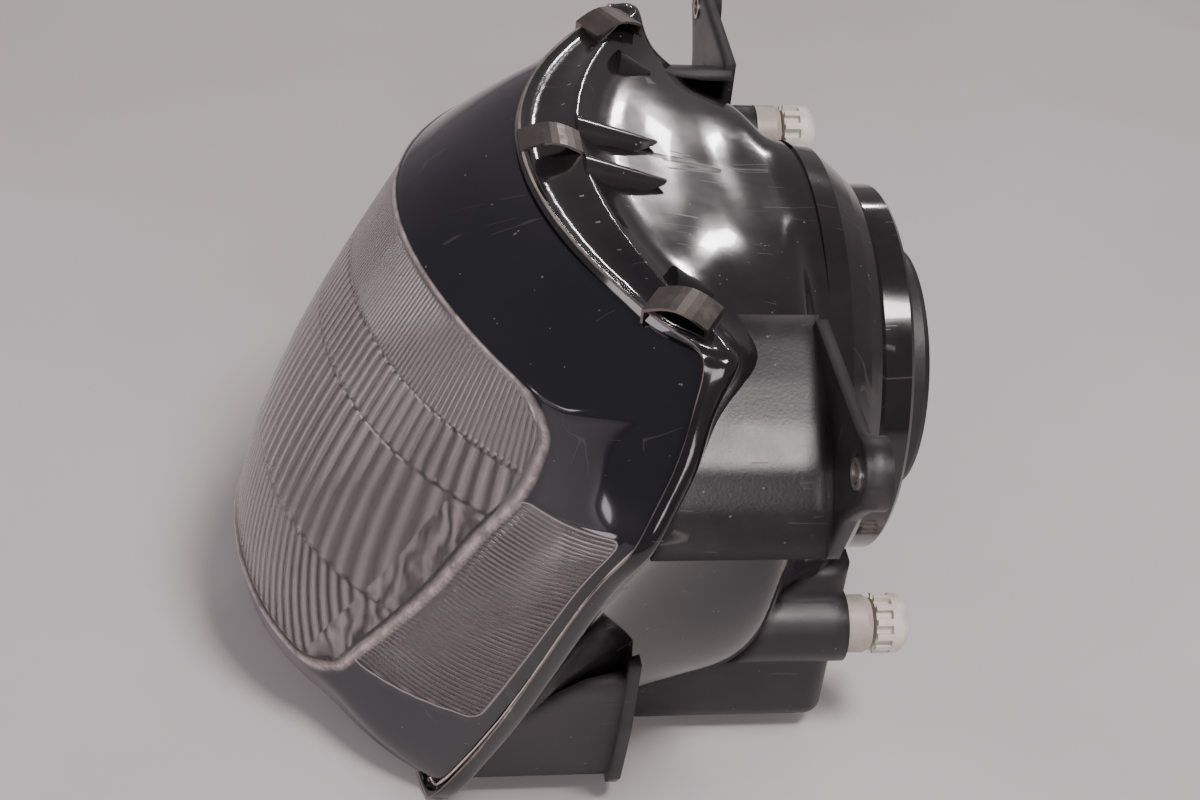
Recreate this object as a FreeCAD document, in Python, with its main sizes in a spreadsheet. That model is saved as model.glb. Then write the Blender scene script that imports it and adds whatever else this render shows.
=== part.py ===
import FreeCAD
import Part
import math
import os
import Sketcher

# Motorcycle headlight unit. Millimetres. Origin midway between the two upper lug holes on
# the lugs' front faces; +X rider's left, +Y rearward (the light shines to -Y), +Z up.
SIZES = {
    "lug_span": 149.0, "lug_radius": 11.0, "lug_depth": 8.0, "sleeve_radius": 4.8, "bolt_radius": 3.3,
    "wall": 3.0, "bowl_wall": 2.4, "plate": 4.0, "axis_drop": 72.0,
    "ring_face": 14.0, "ring_back": 47.5, "neck_radius": 67.6, "ring_radius": 83.0,
    "collar_radius": 43.2, "collar_bore": 40.7, "collar_end": 56.0,
    "cap_radius": 45.3, "cap_fit": 43.3, "cap_end": 60.5, "cap_hole": 19.0,
    "lever_y": -30.0, "near_x": 78.0, "pivot_z": -18.0, "screw_x": 68.0, "screw_z": -139.0,
    "far_x": -78.0, "screw_radius": 3.0, "hub_radius": 10.6, "hub_length": 11.5, "knob_radius": 11.0,
    "knob_length": 12.0, "nut_radius": 6.0, "nut_length": 10.0, "nut_bore": 3.65,
    "near_knob_y": 47.5, "far_knob_y": 23.5, "ball_radius": 4.0,
    "dish_focal": 25.0, "dish_vertex": 10.0, "dish_radius": 94.0, "dish_wall": 2.5,
    "dish_top": 69.0, "dish_bottom": 90.0, "dish_half": 90.0, "bulb_neck": 21.6,
    "glass_radius": 8.3, "flange_radius": 21.2,
}

doc = FreeCAD.newDocument("headlight")
sheet = doc.addObject("Spreadsheet::Sheet", "dims")
for row, (word, value) in enumerate(SIZES.items(), start=1):
    sheet.set("A%d" % row, word)
    sheet.set("B%d" % row, str(value))
    sheet.setAlias("B%d" % row, word)
doc.recompute()


def size(word):
    """A driving dimension read from the sheet, or a plain number."""
    return float(getattr(sheet, word)) if isinstance(word, str) else float(word)


V = FreeCAD.Vector
AXIS = -size("axis_drop")
REAR = FreeCAD.Rotation(V(1, 0, 0), -90)     # local +Z points to the rear (+Y)
NODES = []


def keep(obj, label):
    """Mark an object as one finished piece."""
    obj.Label = label
    NODES.append(obj)
    return obj


def put(obj, spot, turn=None):
    """Place an object; coordinates that are sheet words stay bound to the sheet."""
    obj.Placement = FreeCAD.Placement(V(*[size(c) for c in spot]), turn or FreeCAD.Rotation())
    for letter, word in zip("xyz", spot):
        if isinstance(word, str):
            obj.setExpression("Placement.Base.%s" % letter, "dims.%s" % word)
    return obj


def prim(kind, spot, turn=None, **measures):
    """A Part primitive whose measures are sheet words or numbers."""
    obj = doc.addObject("Part::" + kind, kind.lower())
    for key, word in measures.items():
        setattr(obj, key, size(word))
        if isinstance(word, str):
            obj.setExpression(key, "dims.%s" % word)
    return put(obj, spot, turn)


def rod(spot, radius, length, turn=REAR):
    return prim("Cylinder", spot, turn, Radius=radius, Height=length)


def block(x0, x1, y0, y1, z0, z1):
    return prim("Box", (x0, y0, z0), None, Length=x1 - x0, Width=y1 - y0, Height=z1 - z0)


def fused(*objs):
    obj = doc.addObject("Part::MultiFuse", "fuse")
    obj.Shapes = list(objs)
    return obj


def less(base, *tools):
    """Base minus each of the tools."""
    for tool in tools:
        cut = doc.addObject("Part::Cut", "cut")
        cut.Base = base
        cut.Tool = tool
        base = cut
    return base


def largest(obj, *tools):
    """The main lump left of an object after trimming."""
    doc.recompute()
    shape = obj.Shape
    for tool in tools:
        shape = shape.cut(tool.Shape)
    return free(max(shape.Solids, key=lambda lump: lump.Volume), "trimmed")


def free(shape, name="shape"):
    obj = doc.addObject("Part::Feature", name)
    obj.Shape = shape
    return obj


def sketched(name, outline, circles=()):
    """A body with a closed outline sketch on its XZ plane, vertices bound to the sheet."""
    body = doc.addObject("PartDesign::Body", name)
    sketch = body.newObject("Sketcher::SketchObject", name + "_sketch")
    plane = [f for f in body.Origin.OriginFeatures if f.Role == "XZ_Plane"][0]
    sketch.AttachmentSupport = [(plane, "")]
    sketch.MapMode = "FlatFace"
    spots = [V(size(a), size(b), 0) for a, b in outline]
    count = len(spots)
    for i in range(count):
        sketch.addGeometry(Part.LineSegment(spots[i], spots[(i + 1) % count]), False)
    for i in range(count):
        sketch.addConstraint(Sketcher.Constraint("Coincident", i, 2, (i + 1) % count, 1))
    for i, pair in enumerate(outline):
        for kind, word, value in (("DistanceX", pair[0], spots[i].x), ("DistanceY", pair[1], spots[i].y)):
            if abs(value) < 1e-9:
                sketch.addConstraint(Sketcher.Constraint("PointOnObject", i, 1, -2 if kind == "DistanceX" else -1))
                continue
            index = sketch.addConstraint(Sketcher.Constraint(kind, -1, 1, i, 1, value))
            if isinstance(word, str):
                sketch.setExpression("Constraints[%d]" % index, "dims.%s" % word)
    for x, y, radius in circles:
        sketch.addGeometry(Part.Circle(V(size(x), size(y), 0), V(0, 0, 1), size(radius)), False)
    doc.recompute()
    return body, sketch


def turned(name, outline, spot=(0, 0, 0), turn=REAR):
    """A solid turned about its local Z from an (R, Z) outline."""
    body, sketch = sketched(name, outline)
    spin = body.newObject("PartDesign::Revolution", name + "_spin")
    spin.Profile = sketch
    spin.ReferenceAxis = (sketch, ["V_Axis"])
    spin.Angle = 360.0
    doc.recompute()
    return put(body, spot, turn)


def plate(name, outline, depth, y0, circles=()):
    """A plate square to Y whose front face lies at y0."""
    body, sketch = sketched(name, outline, circles)
    pad = body.newObject("PartDesign::Pad", name + "_pad")
    pad.Profile = sketch
    pad.Length = size(depth)
    if isinstance(depth, str):
        pad.setExpression("Length", "dims.%s" % depth)
    pad.Reversed = True
    doc.recompute()
    return put(body, (0, y0, 0))


# ---- free-form walls: smooth skins through rows of stations, closed at their edges --------
def blend(stations, at):
    """Smooth value read between stations listed as (at, value)."""
    spots = [s[0] for s in stations]
    at = min(max(at, spots[0]), spots[-1])
    i = max(k for k in range(len(spots) - 1) if spots[k] <= at)
    def slope(k):
        a, b = max(k - 1, 0), min(k + 1, len(stations) - 1)
        return (stations[b][1] - stations[a][1]) / (spots[b] - spots[a])
    span = spots[i + 1] - spots[i]
    f = (at - spots[i]) / span
    p0, p1, m0, m1 = stations[i][1], stations[i + 1][1], slope(i) * span, slope(i + 1) * span
    return ((2 * f - 3) * f * f + 1) * p0 + (3 - 2 * f) * f * f * p1 + f * (1 - f) ** 2 * m0 - f * f * (1 - f) * m1


# Height of the lens face's centre line against Z, and how it falls away to the sides.
FACE_CENTRE = [(-190, -180.5), (-165, -185), (-140, -184.3), (-110, -178.3), (-80, -167.8),
               (-50, -154), (-20, -138), (0, -126.6)]
# Side edge of the clear window: Z -> (X, Y).
WINDOW_X = [(-190, 61), (-166, 66), (-143, 74), (-122, 81.5), (-98, 88), (-75, 92), (-51, 99), (-14, 103)]
WINDOW_Y = [(-190, -158), (-166, -150), (-143, -138), (-122, -124.5), (-98, -110.5), (-75, -100),
            (-51, -86.5), (-14, -81)]
# Rim of the lens down the side, where it sits in the housing: station 0..1 -> X, Y, Z.
SIDE_X = [(0, 112), (0.1, 121.5), (0.2, 132), (0.28, 137), (0.42, 131.5), (0.6, 121.5), (0.8, 110.6),
          (0.94, 100), (1, 93)]
SIDE_Y = [(0, -39), (0.1, -41.6), (0.2, -51), (0.28, -57.5), (0.42, -67), (0.6, -78.7), (0.8, -91.7),
          (0.94, -108), (1, -112)]
SIDE_Z = [(0, 14), (0.1, -5.7), (0.2, -26), (0.28, -38), (0.42, -59), (0.6, -98), (0.8, -141),
          (0.94, -182), (1, -190)]


def face(x, z):
    """The clear window's surface."""
    s = (z + 90) / 90.0
    u = abs(x) / 90.0
    return blend(FACE_CENTRE, z) + (1.38 + 0.08 * s) * 30 * u ** 2 + (0.82 - 1.02 * s) * 30 * u ** 4


def top_rim(u):
    """Rim along the top, u from -1 to 1."""
    x = 112 * u
    return (x, -85 + 46 * u * u, 17.5 - 3.5 * u * u)


def low_rim(u):
    """Rim along the bottom, arched up in the middle."""
    return (93 * u, -128 + 16 * u * u, -162 - 28 * u * u)


def side_rim(v, sign):
    return (sign * blend(SIDE_X, v), blend(SIDE_Y, v), blend(SIDE_Z, v))


def between(a, b, f):
    return tuple(p + (q - p) * f for p, q in zip(a, b))


def lens_row(kind, f):
    """One row of the lens skin, from the right-hand rim to the left-hand rim."""
    row = []
    window = 14
    if kind == "brow":
        for k in range(-window, window + 1):
            u = k / window
            low = brow_edge(u)
            bulge = 5 * math.sin(math.pi * f) * (1 - 0.5 * abs(u))
            spot = between(top_rim(u), low, f)
            row.append((spot[0], spot[1], spot[2] + bulge))
        return row
    if kind == "foot":
        return [between(foot_edge(k / window), low_rim(k / window), f) for k in range(-window, window + 1)]
    for k in range(-window, window + 1):
        row.append(body_point(k / window, f))
    return row


def body_point(u, f):
    """Point on the window and side faces; the window spans |u| < 0.64."""
    sign = 1 if u >= 0 else -1
    a = abs(u)
    edge_z = -14 - 152 * f
    mid_z = -1 - 137 * f
    edge_x, edge_y = blend(WINDOW_X, edge_z), blend(WINDOW_Y, edge_z)
    if a <= 0.64:
        s = a / 0.64
        x = edge_x * s
        z = mid_z + (edge_z - mid_z) * s * s
        y = face(x, z)
        fit = edge_y - face(edge_x, edge_z)
        return (sign * x, y + fit * s ** 4, z)
    s = (a - 0.64) / 0.36
    rim = side_rim(0.06 + 0.9 * f, 1)
    spot = between((edge_x, edge_y, edge_z), rim, s)
    swell = 3.5 * math.sin(math.pi * s)
    return (sign * (spot[0] + swell), spot[1] - swell * 0.4, spot[2])


def brow_edge(u):
    return body_point(u, 0.0)


def foot_edge(u):
    """Lower edge of the lens face, one lip below the window."""
    a = body_point(u, 1.0)
    return (a[0] * 0.97, a[1] + 1.5, a[2] - 16 * (1 - 0.75 * u * u))


def lens_rows():
    rows = [lens_row("brow", f) for f in (0.0, 0.2, 0.45, 0.7, 0.9)]
    rows += [lens_row("body", f) for f in (0.0, 0.04, 0.12, 0.25, 0.4, 0.55, 0.7, 0.85, 0.96, 1.0)]
    low = [foot_edge(k / 14) for k in range(-14, 15)]
    last = rows[-1]
    rows.append([between(a, b, 0.55) for a, b in zip(last, low)])
    rows += [lens_row("foot", f) for f in (0.0, 0.12, 0.5, 1.0)]
    return rows


def offset_rows(rows, depth, closed):
    """The same rows moved inwards along their normals."""
    grid = [[V(*p) for p in row] for row in rows]
    count, wide = len(grid), len(grid[0])
    moved = []
    for i in range(count):
        line = []
        for j in range(wide):
            up, down = grid[max(i - 1, 0)][j], grid[min(i + 1, count - 1)][j]
            left = grid[i][(j - 1) % wide if closed else max(j - 1, 0)]
            right = grid[i][(j + 1) % wide if closed else min(j + 1, wide - 1)]
            normal = (right - left).cross(down - up)
            normal.normalize()
            line.append(grid[i][j] + normal * depth)
        moved.append(line)
    return grid, moved


def knots(count):
    """Knots and multiplicities for a quadratic spline drawn through its poles."""
    return list(range(count - 1)), [3] + [1] * (count - 3) + [3]


def ring(line):
    """Smooth closed curve through points."""
    curve = Part.BSplineCurve()
    curve.interpolate(Points=line, PeriodicFlag=True)
    return curve.toShape()


def strand(line):
    """Smooth open curve guided by points."""
    spans, counts = knots(len(line))
    curve = Part.BSplineCurve()
    curve.buildFromPolesMultsKnots(line, counts, spans, False, 2)
    return curve.toShape()


def stitched(faces):
    shell = Part.makeShell(faces)
    shell.sewShape()
    solid = Part.makeSolid(shell)
    if solid.Volume < 0:
        solid.reverse()
    return solid


def walled_sheet(rows, depth):
    """A wall of even thickness behind an open sheet of points."""
    faces = []
    sides = offset_rows(rows, depth, False)
    for grid in sides:
        spans, counts = knots(len(grid))
        across, wide = knots(len(grid[0]))
        surface = Part.BSplineSurface()
        surface.buildFromPolesMultsKnots(grid, counts, wide, spans, across, False, False, 2, 2)
        faces.append(surface.toShape())
    for k in (0, -1):
        faces.append(Part.makeRuledSurface(strand(sides[0][k]), strand(sides[1][k])))
        faces.append(Part.makeRuledSurface(strand([r[k] for r in sides[0]]), strand([r[k] for r in sides[1]])))
    return stitched(faces)


def walled_tube(rows, depth):
    """A wall of even thickness inside a stack of closed rows."""
    faces = []
    sides = offset_rows(rows, depth, True)
    for grid in sides:
        faces += Part.makeLoft([Part.Wire([ring(row)]) for row in grid], False, False).Faces
    for k in (0, -1):
        faces.append(Part.makeRuledSurface(ring(sides[0][k]), ring(sides[1][k])))
    return stitched(faces)


def rim_loop(grow=0.0, back=0.0, top_grow=None, top_back=None):
    """The lens rim as a closed loop, grown outwards and moved back; the top may differ."""
    top_grow = grow if top_grow is None else top_grow
    top_back = back if top_back is None else top_back
    loop = [top_rim(k / 8) for k in range(-7, 8)]
    loop += [side_rim(v, 1) for v in (0.0, 0.07, 0.14, 0.21, 0.28, 0.37, 0.47, 0.58, 0.69, 0.8, 0.88, 0.95, 1.0)]
    loop += [low_rim(k / 8) for k in range(7, -8, -1)]
    loop += [side_rim(v, -1) for v in (1.0, 0.95, 0.88, 0.8, 0.69, 0.58, 0.47, 0.37, 0.28, 0.21, 0.14, 0.07, 0.0)]
    moved = []
    for x, y, z in loop:
        reach = math.hypot(x, z + 75)
        share = min(max((118 - abs(x)) / 22, 0), 1) * min(max((z - 2) / 11, 0), 1)
        out = grow + (top_grow - grow) * share
        aft = back + (top_back - back) * share
        slant = 0.45 * aft * x / 88 * share
        moved.append((x + x / reach * out + slant, y + aft, z + (z + 75) / reach * out))
    return moved


# ---- lens ---------------------------------------------------------------------------------
lens_wall = walled_sheet(lens_rows(), -size("wall"))
keep(free(lens_wall), "front_lens")

# ---- housing bowl: channel lip, bowl closing to a circle, turned rear neck -------------------
def section(base, y, half_wide, half_top, half_low, power):
    """Rounded-square section of the bowl at y."""
    row = []
    for x, _, z in base:
        turn = math.atan2(z - AXIS, x)
        c, s = abs(math.cos(turn)), math.sin(turn)
        tall = half_top if s > 0 else half_low
        bend = power if s > 0 else 2 + (power - 2) * 0.4
        reach = ((c / half_wide) ** bend + (abs(s) / tall) ** bend) ** (-1.0 / bend)
        row.append((reach * math.cos(turn), y, AXIS + reach * s))
    return row


def bowl_rows():
    base = rim_loop()
    rows = [rim_loop(4.6, -3.0, 3.6, -1.0), rim_loop(5.6, -0.6, 0.6, 4.0), rim_loop(5.4, 2.4, 0.6, 11.0),
            rim_loop(2.6, 4.2, 2.6, 17.0)]
    start = rows[-1]
    full = section(base, -8.0, 98, 80, 100, 4.0)
    for f in (0.15, 0.4, 0.7):
        ease = f ** 0.6
        rows.append([(a[0] + (b[0] - a[0]) * ease, a[1] + (b[1] - a[1]) * f, a[2] + (b[2] - a[2]) * ease)
                     for a, b in zip(start, full)])
    rows.append(full)
    rows += [section(base, -0.5, 96, 80, 97, 3.4), section(base, 4.0, 92, 80, 92, 2.8),
             section(base, 10.0, 85, 81, 86, 2.2), section(base, 18.0, 80.8, 80.8, 80.8, 2)]
    return rows


bowl = free(walled_tube(bowl_rows(), -size("bowl_wall")), "bowl")
neck = turned("neck", [("collar_bore", 44.5), (64.6, 44.5), (64.6, 36), (72, 29), (77, 21), (78.5, "ring_face"),
                       ("ring_radius", "ring_face"), (81.4, 22), (75, 30), (70.5, 35), ("neck_radius", 37.2),
                       ("neck_radius", 46.2), (66.3, "ring_back"), (46, "ring_back"),
                       ("collar_radius", "ring_back"), ("collar_radius", "collar_end"),
                       ("collar_bore", "collar_end")], (0, 0, AXIS))
ribs = []
for x, base_y, base_z, tip_y, tip_z in ((13, -66.5, 15.5, -19, 8.5), (72, -45, 10.5, -20, 3.0)):
    for sign in (-1, 1):
        run = V(0, tip_y - base_y, tip_z - base_z)
        ribs.append(prim("Cone", (sign * x, base_y, base_z), FreeCAD.Rotation(V(0, 0, 1), run),
                         Radius1=7.8, Radius2=0.5, Height=run.Length))


def bulk():
    """Space the bowl takes up, for trimming what is moulded against it."""
    rows = [[V(*p) for p in row] for row in bowl_rows()[4:]]
    wires = [Part.Wire([ring(row)]) for row in rows]
    tip = V(0, sum(p.y for p in rows[0]) / len(rows[0]) - 20, AXIS)
    small = Part.Wire([ring([tip + (p - V(0, p.y, AXIS)) * 0.05 for p in rows[0]])])
    faces = Part.makeLoft(wires, False, False).Faces + Part.makeLoft([wires[0], small], False, True).Faces
    return stitched(faces + [Part.Face(wires[-1]), Part.Face(small)])


envelope = free(bulk(), "envelope")
bores = [rod(("screw_x", -20, "screw_z"), 5.2, 60), rod(("far_x", -20, "pivot_z"), 5.2, 60),
         rod(("near_x", -20, "pivot_z"), 3.0, 60)]
keep(less(fused(bowl, neck), *bores), "housing_bowl")
clearance = turned("clearance", [(0, -125), (140, -125), (122, -70), (113, -40), (109, -8), (106, 0),
                                 (98.5, 4.4), (89, 10.5), (84, 19), (0, 19)], (0, 0, AXIS))
stiff = doc.addObject("Part::Compound", "stiff")
stiff.Links = [largest(rib, envelope) for rib in ribs]
keep(stiff, "housing_stiffeners")

# ---- seal bead between lens rim and channel --------------------------------------------------
def bead():
    loops = [rim_loop(0.4, 0.6), rim_loop(1.6, 0.6), rim_loop(1.6, 2.0), rim_loop(0.4, 2.0)]
    wires = [ring([V(*p) for p in loop]) for loop in loops]
    return stitched([Part.makeRuledSurface(wires[k], wires[(k + 1) % 4]) for k in range(4)])


keep(free(bead()), "lens_seal")

# ---- spring clips over the rim -----------------------------------------------------------------
arch = []
for k in range(9):
    arch.append((-9.8 + 19.6 * k / 8, 1.0 + 3.4 * math.sin(math.pi * k / 8)))
outline = [(-10.6, -3.0)] + [(x * 1.08, z + 0.8) for x, z in arch] + [(10.6, -3.0), (9.8, -3.0)] + arch[::-1]
outline += [(-9.8, -3.0)]
clips = []
for x, y, z, swing in ((0, -76, 19.6, 0), (94, -44.5, 17.0, -30), (-94, -44.5, 17.0, 30)):
    strip = plate("clip", outline, 14, -7)
    turn = FreeCAD.Rotation(V(0, 0, 1), swing + 90)
    clips.append(put(fused(strip, prim("Cylinder", (10.2, 7, -2.6), REAR.inverted(), Radius=0.7, Height=14)),
                     (x, y, z), turn))
keep(fused(*clips), "spring_clips")

# ---- mount arms: wall following the rim, rear plate with the lug ---------------------------------
WALL_OUT = [(80, 7), (88, 4.5), (102, -2), (115, -9), (127, -17), (134, -27), (139, -42)]
for sign, side in ((1, "left"), (-1, "right")):
    inner = [(x - 1.6, z - 3.2) for x, z in WALL_OUT[:-2]] + [(130.8, -28.5), (135.8, -42)]
    wall = plate(side + "_wall", [(sign * x, z) for x, z in WALL_OUT + inner[::-1]], 60, -58)
    back = [(84, 8), (143, 9.5), (160, 3.5), (160, -4), (153, -12), (147, -20), (139, -42), (128, -42), (100, -40),
            (84, -20)]
    tab = plate(side + "_plate", [(sign * x, z) for x, z in back], "plate", 0)
    lug = rod((sign * 149, 0, 0), "lug_radius", "lug_depth")
    web = block(min(sign * 96, sign * 136), max(sign * 96, sign * 136), -52, 1, -42, -39.4)
    slope = prim("Box", (-200, -216.9, -76.8), FreeCAD.Rotation(V(1, 0, 0), -20.7),
                 Length=400, Width=140, Height=400)
    hole = rod((sign * 149, -20, 0), "sleeve_radius", 40)
    keep(largest(less(fused(wall, tab, lug, web), slope, hole), clearance), side + "_arm")
sleeves = [less(rod((sign * 149, -0.6, 0), "sleeve_radius", 9.2), rod((sign * 149, -20, 0), "bolt_radius", 40))
           for sign in (1, -1)]
keep(fused(*sleeves), "lug_sleeves")

# ---- lower brackets: box rib behind the rim and bolt tab -------------------------------------------
for sign, side in ((1, "left"), (-1, "right")):
    box = [(82, -123), (109, -123), (109, -129), (98, -183), (74, -186), (74, -179)]
    shell_part = plate(side + "_box", [(sign * x, z) for x, z in box], 64, -112)
    core = plate(side + "_core", [(sign * x, z) for x, z in [(79, -126), (106, -126), (106, -131), (95.5, -180.5),
                                                              (78, -182.5), (78, -177)]], 60, -116)
    ear = [(72, -116), (113, -113), (111, -146), (104, -179), (98, -187.5), (86, -188.5), (78, -185)]
    tab = plate(side + "_ear", [(sign * x, z) for x, z in ear], "plate", -50, [(sign * 92, -174, "bolt_radius")])
    slope = prim("Box", (-200, -313.3, -158.6), FreeCAD.Rotation(V(1, 0, 0), -22.5),
                 Length=400, Width=200, Height=400)
    keep(largest(less(fused(less(shell_part, core), tab), slope), clearance), side + "_lower_bracket")

# ---- adjuster tower behind the bowl, lower left ------------------------------------------------------
def rounded(x0, x1, y0, y1, z0, z1, radius):
    """Box with rounded rear and bottom edges."""
    box = Part.makeBox(x1 - x0, y1 - y0, z1 - z0, V(x0, y0, z0))
    edges = []
    for edge in box.Edges:
        middle = edge.CenterOfMass
        if abs(middle.z - z0) < 0.01 or abs(middle.y - y1) < 0.01 and abs(middle.z - z1) > 0.01:
            edges.append(edge)
    return free(box.makeFillet(radius, edges))


tower = fused(rounded(30, 70, -44, 36, -188, -112, 7), rod(("screw_x", -44, "screw_z"), 13.5, 80))
cavity = fused(rounded(33, 67, -41, 33, -185, -115, 4), rod(("screw_x", -41, "screw_z"), 10.5, 74))
keep(largest(less(tower, cavity, rod(("screw_x", 20, "screw_z"), 5.2, 30)), envelope), "adjuster_tower")
boss = less(rod(("far_x", -4, "pivot_z"), 10.5, 16.2), rod(("far_x", -8, "pivot_z"), 5.2, 30))
keep(largest(boss, envelope), "far_adjuster_boss")

# ---- adjusters: hub, geared knob, screw, nut ------------------------------------------------------------
def knob(x, z, y):
    """Thumb knob with crown teeth round its front edge."""
    body = turned("knob", [(0, 0), ("knob_radius", 0), ("knob_radius", 8.6), (10.2, 10.2), (8.2, "knob_length"),
                           (4.0, "knob_length"), (4.0, 10.4), (0, 10.4)], (x, y, z))
    gaps = []
    for k in range(12):
        angle = 30.0 * k
        gap = prim("Box", (0, 0, 0), None, Length=2.6, Width=6.0, Height=3.2)
        turn = FreeCAD.Rotation(V(0, 1, 0), angle)
        gap.Placement = FreeCAD.Placement(V(size(x), size(y), size(z)) + turn.multVec(V(8.8, -0.2, -1.6)), turn)
        gaps.append(gap)
    return less(body, fused(*gaps))


for name, x, z, y in (("vertical", "screw_x", "screw_z", 47.5), ("horizontal", "far_x", "pivot_z", 23.5)):
    hub_long = 9.8 if name == "vertical" else 9.5
    hub = turned(name + "_hub_body", [(3.05, 0), ("hub_radius", 0), ("hub_radius", 7.6), (9.4, hub_long),
                                      (3.05, hub_long)], (x, y - 1.5 - hub_long, z))
    keep(hub, name + "_hub")
    keep(less(knob(x, z, y), rod((x, y - 1, z), 3.0, 9)), name + "_knob")
    stem = fused(rod((x, size("lever_y") - 14, z), "screw_radius", y + 7.9 - size("lever_y") + 14),
                 rod((x, y - 1.1, z), 5.0, 1.0))
    keep(less(stem, block(size(x) - 0.6, size(x) + 0.6, y + 6, y + 9, size(z) - 4, size(z) + 4)), name + "_screw")
    nut = turned(name + "_nut_body", [("nut_bore", 0), ("nut_radius", 0), ("nut_radius", "nut_length"),
                                      ("nut_bore", "nut_length")], (x, -35, z))
    keep(nut, name + "_nut")

# ---- fixed pivot: ball stud and the socket on the dish ----------------------------------------------------
ball = prim("Sphere", ("near_x", "lever_y", "pivot_z"), None, Radius="ball_radius")
stud = fused(ball, rod(("near_x", "lever_y", "pivot_z"), 2.4, 25), rod(("near_x", -7, "pivot_z"), 2.95, 18))
keep(fused(stud, rod(("near_x", 7.5, "pivot_z"), 5.5, 3.2)), "pivot_stud")
cup = less(rod(("near_x", -36, "pivot_z"), 6.0, 8.6), prim("Sphere", ("near_x", "lever_y", "pivot_z"), None, Radius=4.06),
           rod(("near_x", "lever_y", "pivot_z"), 3.3, 12))
keep(cup, "pivot_socket")

# ---- dish (reflector) ----------------------------------------------------------------------------------------
def dish_profile(gap):
    """Parabola from the bulb neck to the rim, in (radius, y)."""
    focal, vertex = size("dish_focal"), size("dish_vertex")
    radii = [22 + (size("dish_radius") - 22) * k / 12.0 for k in range(13)]
    return [(r, vertex + gap - r * r / (4 * focal)) for r in radii]


front = dish_profile(0)
rear = [(r, y + 2.9 + r * 0.022) for r, y in front]
line = [(r, y) for r, y in front] + [(r, y) for r, y in rear[::-1]] + [(24, 19), ("bulb_neck", 19), ("bulb_neck", 6)]
dish = turned("dish", line, (0, 0, AXIS))
window = block(-90, 90, -90, 30, AXIS - 90, AXIS + size("dish_top"))
ears = []
for x, z in (("near_x", "pivot_z"), ("far_x", "pivot_z"), ("screw_x", "screw_z")):
    reach = math.hypot(size(x), size(z) - AXIS)
    angle = math.degrees(math.atan2(size(z) - AXIS, size(x)))
    turn = FreeCAD.Rotation(V(0, 1, 0), -angle)
    arm = prim("Box", (0, 0, 0), None, Length=reach - 44, Width=5, Height=20)
    arm.Placement = FreeCAD.Placement(turn.multVec(V(44, 0, -10)) + V(0, -32.5, AXIS), turn)
    ears.append(fused(arm, rod((x, -32.5, z), 10.0, 5)))
hollow = turned("hollow", [(0, -95), (size("dish_radius"), -95)] + [(r, y + 1.2) for r, y in front[::-1]] +
                [(0, 6)], (0, 0, AXIS))
eyes = [rod((x, -40, z), 6.0 if x == "near_x" or x == "far_x" else 6.5, 20)
        for x, z in (("near_x", "pivot_z"), ("far_x", "pivot_z"), ("screw_x", "screw_z"))]
trimmed = doc.addObject("Part::Common", "trimmed")
trimmed.Base = dish
trimmed.Tool = window
keep(less(fused(trimmed, less(fused(*ears), hollow)), *eyes), "reflector")

# ---- bulb ---------------------------------------------------------------------------------------------------
glass = turned("glass", [(0, -33), (4.6, -32.2), (7.6, -29), ("glass_radius", -25), ("glass_radius", 15.5),
                         (7.3, 15.5), (7.3, -24.5), (6.8, -28), (4.2, -31.2), (0, -32)], (0, 0, AXIS))
keep(glass, "bulb_glass")
shade = less(turned("shade", [(5.2, -22), (5.6, -22), (5.6, -9), (5.2, -9)], (0, 0, AXIS)),
             block(-8, 8, -30, 0, AXIS + 0.6, AXIS + 9))
post = prim("Box", (-0.5, -22, AXIS - 5.3), None, Length=1.0, Width=36.5, Height=0.8)
keep(fused(shade, post), "bulb_shade")
coils = [rod((-0.6, -19, AXIS + 0.2), 0.7, 5.5), rod((0.6, -6, AXIS + 1.2), 0.7, 5.5)]
leads = [rod((-2.6, -20, AXIS + 0.2), 0.35, 34), rod((2.6, -7, AXIS + 1.2), 0.35, 21)]
links = [block(-2.6, -0.6, -18.8, -18.2, AXIS - 0.1, AXIS + 0.5), block(0.6, 2.6, -5.8, -5.2, AXIS + 0.9, AXIS + 1.5)]
keep(fused(*(coils + leads + links)), "bulb_filaments")
flange = turned("flange", [("glass_radius", 14.5), (10.5, 14.5), (10.5, 19.1), ("flange_radius", 19.1),
                           ("flange_radius", 20.3), (11.0, 20.3), (11.0, 26), (0, 26), (0, 15.6), (8.31, 15.6)],
                (0, 0, AXIS))
keep(flange, "bulb_flange")
plug = turned("plug", [(0, 26), (11.5, 26), (12.5, 28), (12.5, 35), (0, 35)], (0, 0, AXIS))
slots = [block(-4.1, 4.1, 29, 36, AXIS + 6.5, AXIS + 7.5), block(-8.0, -7.0, 29, 36, AXIS - 5, AXIS + 3.2),
         block(7.0, 8.0, 29, 36, AXIS - 5, AXIS + 3.2)]
keep(less(plug, *slots), "bulb_plug")
blades = [block(-4, 4, 29.2, 43, AXIS + 6.6, AXIS + 7.4), block(-7.9, -7.1, 29.2, 43, AXIS - 4.9, AXIS + 3.1),
          block(7.1, 7.9, 29.2, 43, AXIS - 4.9, AXIS + 3.1)]
keep(fused(*blades), "bulb_terminals")

# ---- bulb retainer wire and its bracket -----------------------------------------------------------------------
def wire(path, radius):
    """Round wire bent through points."""
    bits = []
    for a, b in zip(path, path[1:]):
        step = V(*b) - V(*a)
        bit = prim("Cylinder", a, FreeCAD.Rotation(V(0, 0, 1), step), Radius=radius, Height=step.Length)
        bits += [bit, prim("Sphere", b, None, Radius=radius)]
    return bits


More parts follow.
